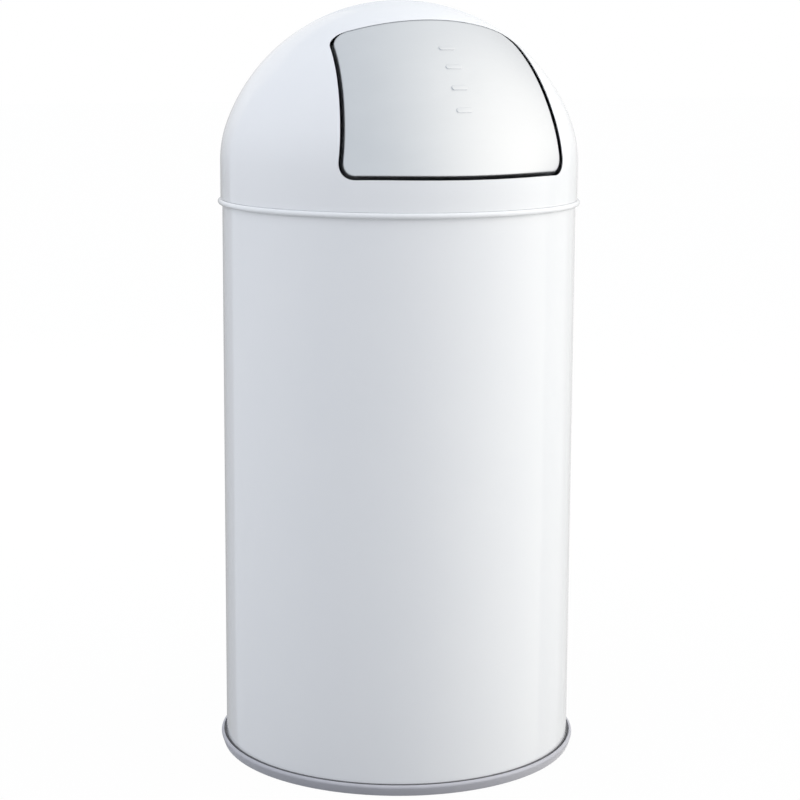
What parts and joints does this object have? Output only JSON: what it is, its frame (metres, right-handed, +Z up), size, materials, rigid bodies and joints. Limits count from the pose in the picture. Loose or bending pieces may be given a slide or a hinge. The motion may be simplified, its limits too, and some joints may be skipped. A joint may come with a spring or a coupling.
{
  "type": "dome top waste receptacle",
  "caption": "Round steel waste bin with a lift-off dome lid, a sprung push flap and a lift-out inner bucket with a wire handle.",
  "frame": {"origin": "middle of the base ring's flat underside, on the floor", "axes": "+Z up along the bin's axis, -Y the way the flap faces, +X to the right of someone who faces the flap"},
  "size_m": [0.3096, 0.3096, 0.64],
  "materials": {
    "white_coat": "white gloss powder coat",
    "flap_steel": "plain stainless steel, fine satin",
    "grey_plastic": "moulded grey plastic, satin",
    "galvanised": "zinc-coated sheet with a faint spangle",
    "bright_wire": "bright zinc-plated wire",
    "plated_plate": "zinc-plated plate",
    "spring_steel": "drawn spring wire",
    "pad_rubber": "black rubber",
    "bush_nylon": "natural nylon"
  },
  "bodies": {
    "bin": {"body_shell": "white_coat", "body_bottom": "white_coat", "base_ring": "grey_plastic"},
    "liner": {"liner_shell": "galvanised", "liner_bottom": "galvanised", "liner_ear_left": "galvanised", "liner_ear_right": "galvanised", "liner_rivets": "bright_wire"},
    "bail": {"bail_handle": "bright_wire"},
    "lid": {"dome_shell": "white_coat", "hinge_bracket_left": "plated_plate", "hinge_bracket_right": "plated_plate", "hinge_rod": "bright_wire", "rod_clips": "spring_steel", "torsion_spring_left": "spring_steel", "torsion_spring_right": "spring_steel", "stop_pads": "pad_rubber"},
    "flap": {"flap_panel": "flap_steel", "flap_ear_left": "plated_plate", "flap_ear_right": "plated_plate", "flap_bush_left": "bush_nylon", "flap_bush_right": "bush_nylon"}
  },
  "joints": [
    {"name": "lid_lift", "type": "slide", "parent": "bin", "child": "lid", "axis": [0, 0, 1], "range_m": [0, 0.7]},
    {"name": "liner_lift", "type": "slide", "parent": "bin", "child": "liner", "axis": [0, 0, 1], "range_m": [0, 0.49]},
    {"name": "flap_swing", "type": "hinge", "parent": "lid", "child": "flap", "pos_m": [0, -0.034, 0.6], "axis": [1, 0, 0], "range_deg": [0, 60], "stiffness_Nm_per_rad": 0.36, "springref_deg": -42.97, "deforming": ["torsion_spring_left", "torsion_spring_right"]},
    {"name": "bail_swing", "type": "hinge", "parent": "liner", "child": "bail", "pos_m": [0, 0, 0.4503], "axis": [1, 0, 0], "range_deg": [0, 180]}
  ],
  "couplings": [
    {"joint": "liner_lift", "follows": "lid_lift", "ratio": 0.7}
  ]
}
